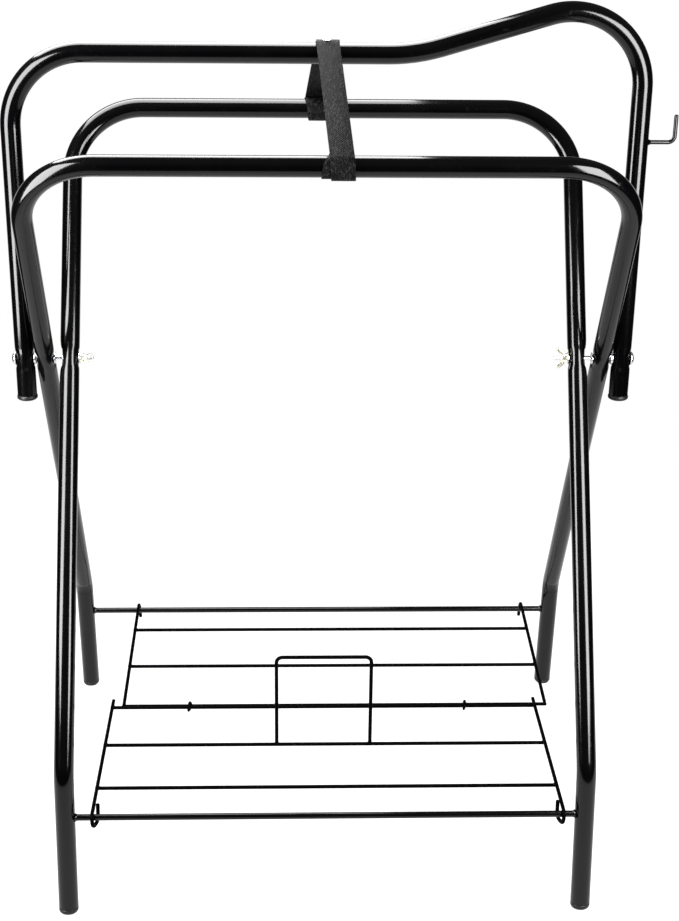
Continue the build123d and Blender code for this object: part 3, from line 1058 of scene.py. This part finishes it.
# ---- floor, light and camera ----
FLOOR_R = 1.15
paper, _, paper_surface = shader("backdrop_paper")
paper_surface.inputs["Base Color"].default_value = (0.15, 0.15, 0.15, 1)
paper_surface.inputs["Roughness"].default_value = 0.95
paper_surface.inputs["Specular IOR Level"].default_value = 0.0
paper_surface.inputs["Emission Color"].default_value = (1, 1, 1, 1)
paper_surface.inputs["Emission Strength"].default_value = 0.93
bpy.ops.object.select_all(action="DESELECT")
bpy.ops.mesh.primitive_circle_add(vertices=96, radius=FLOOR_R, fill_type="NGON", location=(MID_X, 0, 0))
floor = bpy.context.object
floor.name = "floor"
floor.data.materials.append(paper)


def soft_box(name, place, aim, width, height, radiance):
    """A rectangular light aimed at a point, of one radiance whatever its size."""
    lamp = bpy.data.lights.new(name, "AREA")
    lamp.shape = "RECTANGLE"
    lamp.size, lamp.size_y = width, height
    lamp.energy = radiance * pi * width * height
    holder = bpy.data.objects.new(name, lamp)
    bpy.context.collection.objects.link(holder)
    holder.location = place
    holder.rotation_euler = (Vector(aim) - Vector(place)).to_track_quat("-Z", "Y").to_euler()
    holder.visible_camera = False
    return holder


SIDE_RADIANCE = 30
TOP_RADIANCE = 17
TOP_X = MID_X - 0.24
soft_box(
    "left_box", (-0.68, -0.38, 0.80), (-0.30, -0.1, 0.66), width=0.34, height=0.84, radiance=SIDE_RADIANCE
)
soft_box(
    "right_box", (0.70, -0.69, 0.87), (0.28, -0.1, 0.62), width=0.46, height=0.80, radiance=SIDE_RADIANCE
)
soft_box("top_box", (TOP_X, 0.27, 1.2), (TOP_X, 0.10, 0.6), width=0.76, height=0.5, radiance=TOP_RADIANCE)


def studio_sky():
    """White behind the object, a pale fill for matt surfaces, and a dim room in reflections."""
    sky = bpy.data.worlds.new("studio")
    bpy.context.scene.world = sky
    sky.use_nodes = True
    tree = sky.node_tree
    out = tree.nodes["World Output"].inputs["Surface"]
    white = tree.nodes["Background"]
    white.inputs["Color"].default_value = (1, 1, 1, 1)
    room = node(tree, "ShaderNodeBackground")
    fill = node(tree, "ShaderNodeBackground")
    fill.inputs["Strength"].default_value = 0.3
    heading = node(tree, "ShaderNodeSeparateXYZ")
    wire_up(tree, (node(tree, "ShaderNodeTexCoord").outputs["Generated"], heading.inputs[0]))
    back = remap(tree, heading.outputs["Y"], 0.68, 0.85)
    low = remap(tree, heading.outputs["Z"], -0.05, 0.12, 1.0, 0.0)
    dim = remap(tree, heading.outputs["Z"], 0.1, 0.8, 0.01, 0.2)
    wire_up(tree, (math(tree, "ADD", math(tree, "MULTIPLY", back, low), dim), room.inputs["Strength"]))
    path = node(tree, "ShaderNodeLightPath")
    first, second = node(tree, "ShaderNodeMixShader"), node(tree, "ShaderNodeMixShader")
    wire_up(
        tree,
        (path.outputs["Is Glossy Ray"], first.inputs[0]),
        (fill.outputs[0], first.inputs[1]),
        (room.outputs[0], first.inputs[2]),
        (path.outputs["Is Camera Ray"], second.inputs[0]),
        (first.outputs[0], second.inputs[1]),
        (white.outputs[0], second.inputs[2]),
        (second.outputs[0], out),
    )


studio_sky()

# The camera's turns are in degrees, its lens and sensor in millimetres.
CAMERA_PLACE = (-0.0583, -1.8367, 1.2162)
CAMERA_PITCH = 22.813
CAMERA_YAW = 1.968
CAMERA_ROLL = 0.699
LENS_LENGTH = 66.69
SENSOR_WIDTH = 36
lens = bpy.data.cameras.new("camera")
lens.lens = LENS_LENGTH
lens.sensor_width = SENSOR_WIDTH
camera = bpy.data.objects.new("camera", lens)
bpy.context.collection.objects.link(camera)
camera.location = CAMERA_PLACE
level = Euler((radians(90 - CAMERA_PITCH), 0, radians(-CAMERA_YAW))).to_matrix()
aim = level @ Matrix.Rotation(radians(CAMERA_ROLL), 3, "Z")
camera.rotation_euler = aim.to_euler()
bpy.context.scene.camera = camera
bpy.context.scene.view_settings.view_transform = "Standard"
